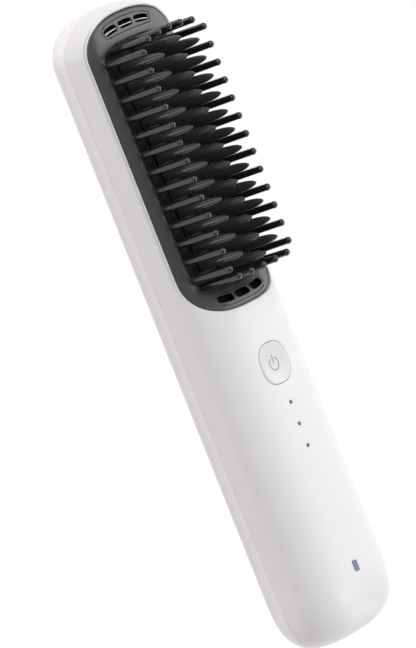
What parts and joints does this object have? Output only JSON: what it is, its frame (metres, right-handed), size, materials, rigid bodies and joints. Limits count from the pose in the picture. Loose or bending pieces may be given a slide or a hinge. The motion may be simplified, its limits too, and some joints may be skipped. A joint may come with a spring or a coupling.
{
  "type": "hair styling brush",
  "caption": "Cordless heated comb brush: a pill-shaped two-part shell with a long oval comb panel, guard pins, pointed blades, a dished power button and a charging socket.",
  "frame": {"origin": "middle of the flat rest land under the back shell, below the middle of the body", "axes": "+X along the body to the head end, +Z the way the comb points, +Y across the body"},
  "size_m": [0.2179, 0.0476, 0.0429],
  "materials": {
    "shell_white": "satin moulded plastic",
    "panel_grey": "satin moulded plastic",
    "comb_black": "glossy heat-resistant nylon",
    "plate_black": "black coated aluminium",
    "carrier_plastic": "moulded plastic",
    "heater_ceramic": "fired ceramic",
    "insulation_amber": "insulating film",
    "clamp_steel": "plain steel",
    "screw_steel": "plated steel",
    "guide_white": "satin moulded plastic",
    "button_white": "satin moulded plastic",
    "switch_black": "moulded plastic",
    "plunger_brown": "moulded plastic",
    "board_green": "coated laminate",
    "chip_black": "moulded package",
    "led_yellow": "clear resin",
    "guide_clear": "smoky clear plastic",
    "window_blue": "tinted clear plastic",
    "cell_wrap": "shrink wrap over a metal can",
    "bracket_plastic": "moulded plastic",
    "tab_nickel": "nickel strip",
    "lead_red": "insulated wire",
    "lead_white": "silicone insulated wire",
    "socket_steel": "drawn steel",
    "terminal_white": "moulded plastic",
    "shield_foil": "thin rolled sheet"
  },
  "bodies": {
    "brush": {"front_shell": "shell_white", "rear_shell": "shell_white", "bezel": "panel_grey", "head_vent_insert": "panel_grey", "handle_vent_insert": "panel_grey", "left_pin_strip": "comb_black", "right_pin_strip": "comb_black", "head_pin_arc": "comb_black", "handle_pin_arc": "comb_black", "heat_plate": "plate_black", "blade_strip_left": "comb_black", "blade_strip_middle": "comb_black", "blade_strip_right": "comb_black", "comb_carrier": "carrier_plastic", "ceramic_heaters": "heater_ceramic", "insulating_sheet": "insulation_amber", "clamp_plate": "clamp_steel", "thermal_fuse": "clamp_steel", "comb_screws": "screw_steel", "air_guide": "guide_white", "switch_body": "switch_black", "main_board": "board_green", "board_chips": "chip_black", "board_screws": "screw_steel", "indicator_leds": "led_yellow", "light_guide": "guide_clear", "battery_led": "led_yellow", "battery_window": "window_blue", "cell_left": "cell_wrap", "cell_right": "cell_wrap", "front_cell_bracket": "bracket_plastic", "rear_cell_bracket": "bracket_plastic", "cell_tabs": "tab_nickel", "battery_leads": "lead_red", "charge_board": "board_green", "charge_socket": "socket_steel", "terminal_block": "terminal_white", "heater_leads": "lead_white", "heat_shield": "shield_foil"},
    "power_button": {"power_button": "button_white"},
    "switch_plunger": {"switch_plunger": "plunger_brown"}
  },
  "joints": [
    {"name": "power_button_press", "type": "slide", "parent": "brush", "child": "power_button", "axis": [0, 0, -1], "range_m": [0, 0.0006], "stiffness_N_per_m": 2000},
    {"name": "switch_plunger_press", "type": "slide", "parent": "brush", "child": "switch_plunger", "axis": [0, 0, -1], "range_m": [0, 0.0006]}
  ],
  "couplings": [
    {"joint": "switch_plunger_press", "follows": "power_button_press", "ratio": 1}
  ]
}
